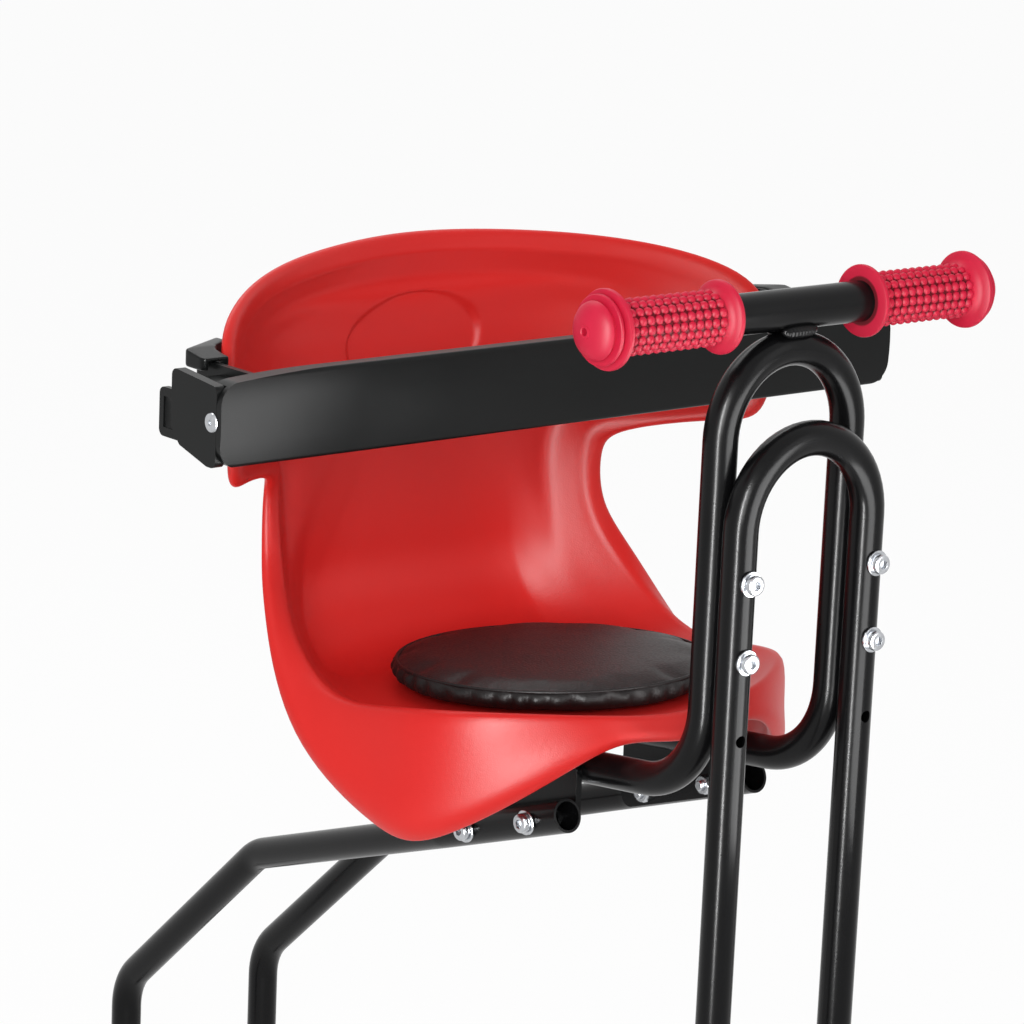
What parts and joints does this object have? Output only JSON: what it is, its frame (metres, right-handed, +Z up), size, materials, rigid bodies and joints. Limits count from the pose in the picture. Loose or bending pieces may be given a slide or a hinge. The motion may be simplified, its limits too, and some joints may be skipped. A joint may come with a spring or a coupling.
{
  "type": "handlebar child bike seat",
  "caption": "Front child bicycle seat: moulded bucket with flared wings and round pad on bent-tube legs, with a slide-off safety bar and a small handlebar with studded grips.",
  "frame": {"origin": "middle of the footprint at floor level, between the leg ends", "axes": "+Z up; the child faces -Y; +X is the child's left"},
  "size_m": [0.4948, 0.5679, 0.6248],
  "materials": {
    "red_plastic": "satin, fine grain",
    "pad_leather": "smooth leatherette",
    "black_paint": "gloss black",
    "zinc": "bright zinc",
    "black_plastic": "satin",
    "grip_rubber": "studded, satin"
  },
  "bodies": {
    "stand": {"front_bolts": "zinc", "front_hoop": "black_paint", "front_washers": "zinc", "handlebar": "black_paint", "left_grip": "grip_rubber", "left_rear_leg": "black_paint", "left_side_plate": "black_paint", "left_wing_bracket": "black_plastic", "rear_bolts": "zinc", "rear_nuts": "zinc", "rear_washers": "zinc", "right_grip": "grip_rubber", "right_rear_leg": "black_paint", "right_side_plate": "black_paint", "right_wing_bracket": "black_plastic", "seat_frame": "black_paint", "seat_pad": "pad_leather", "seat_shell": "red_plastic", "shell_screws": "zinc", "weld_beads": "black_paint"},
    "bar_unit": {"cheek_screws": "zinc", "left_bar_cheek": "black_plastic", "left_release_tab": "black_plastic", "right_bar_cheek": "black_plastic", "right_release_tab": "black_plastic", "safety_bar": "black_plastic"}
  },
  "joints": [
    {"name": "bar_slide", "type": "slide", "parent": "stand", "child": "bar_unit", "axis": [0, -1, 0], "range_m": [0, 0.045]}
  ]
}
